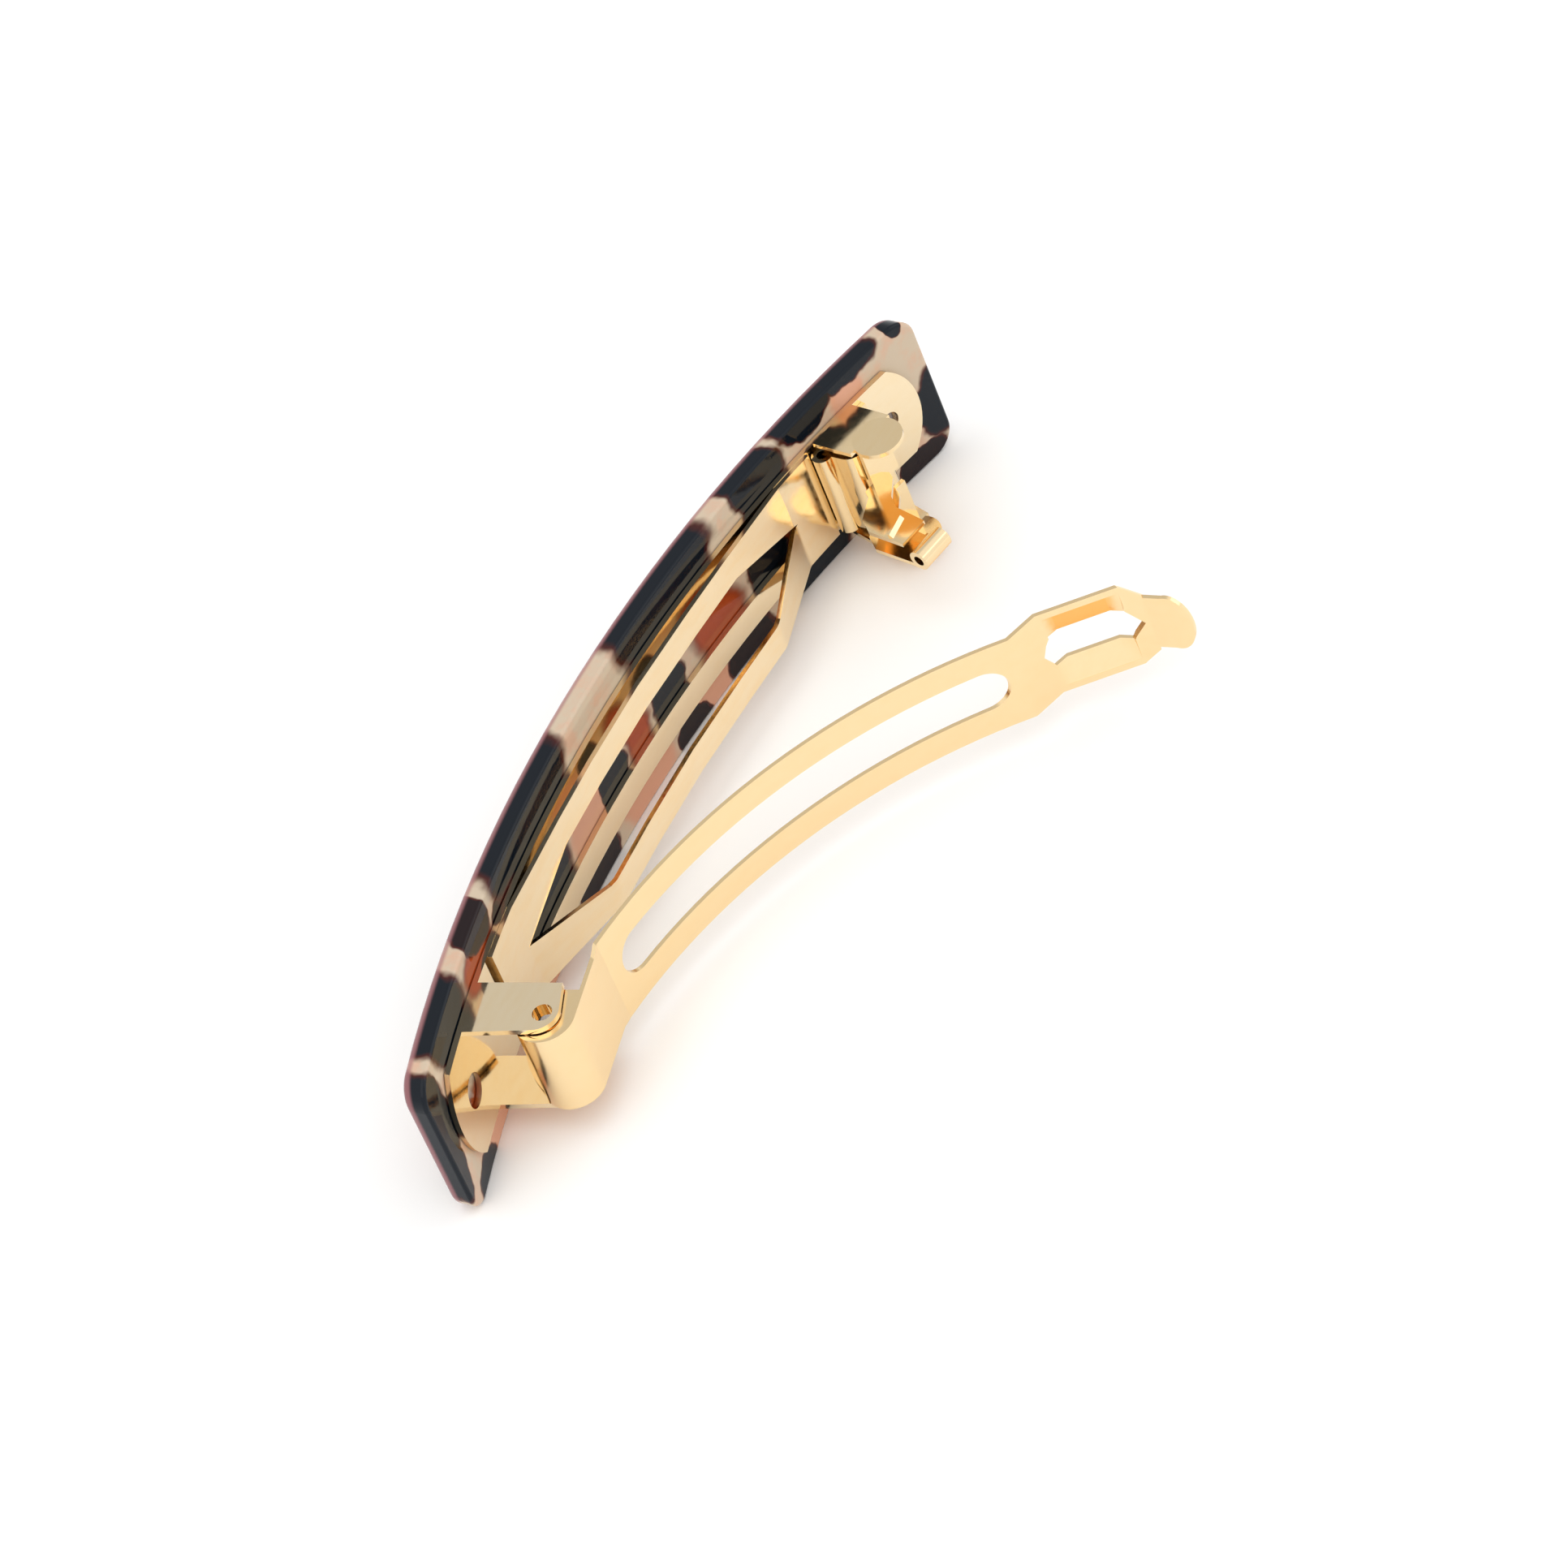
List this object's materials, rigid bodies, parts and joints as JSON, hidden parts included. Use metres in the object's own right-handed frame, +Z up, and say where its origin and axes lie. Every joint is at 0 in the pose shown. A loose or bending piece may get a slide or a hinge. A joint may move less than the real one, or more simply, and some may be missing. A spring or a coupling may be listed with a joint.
{
  "type": "barrette",
  "caption": "Arched acetate hair barrette with a pale-gold automatic clasp: base plate, tension bow, hinged slotted arm and a pinch-to-open spring catch.",
  "frame": {"origin": "middle of the flat lower edge that the barrette stands on, at the middle of the bar's length", "axes": "+X from the hinge end to the latch end, +Y out of the decorative face, +Z up across the bar's width; the clasp is on the -Y side"},
  "size_m": [0.0876, 0.0451, 0.0154],
  "materials": {
    "acetate": "polished tortoiseshell acetate, cream, rust, red and blue-black patches",
    "clasp_plate": "pale gold plated sheet, polished",
    "clasp_bow": "pale gold plated spring strip, polished",
    "clasp_arm": "pale gold plated sheet, polished",
    "clasp_catch": "pale gold plated spring strip, polished",
    "adhesive": "clear set adhesive"
  },
  "bodies": {
    "bar": {"acetate_bar": "acetate", "base_plate": "clasp_plate", "tension_bow": "clasp_bow", "catch_bridge": "clasp_plate", "hinge_end_adhesive": "adhesive", "latch_end_adhesive": "adhesive"},
    "arm": {"clasp_arm": "clasp_arm"},
    "upper_catch": {"catch_leaf_upper": "clasp_catch"},
    "lower_catch": {"catch_leaf_lower": "clasp_catch"}
  },
  "joints": [
    {"name": "arm_hinge", "type": "hinge", "parent": "bar", "child": "arm", "pos_m": [-0.03158, -0.01187, 0.0077], "axis": [0, 0, 1], "range_deg": [-30, 23.8]},
    {"name": "upper_catch_pinch", "type": "hinge", "parent": "bar", "child": "upper_catch", "pos_m": [0.03239, -0.00573, 0.0128], "axis": [0.9696, -0.2448, 0], "range_deg": [0, 3.6], "stiffness_Nm_per_rad": 0.3},
    {"name": "lower_catch_pinch", "type": "hinge", "parent": "bar", "child": "lower_catch", "pos_m": [0.03239, -0.00573, 0.0026], "axis": [-0.9696, 0.2448, 0], "range_deg": [0, 3.6], "stiffness_Nm_per_rad": 0.3}
  ]
}
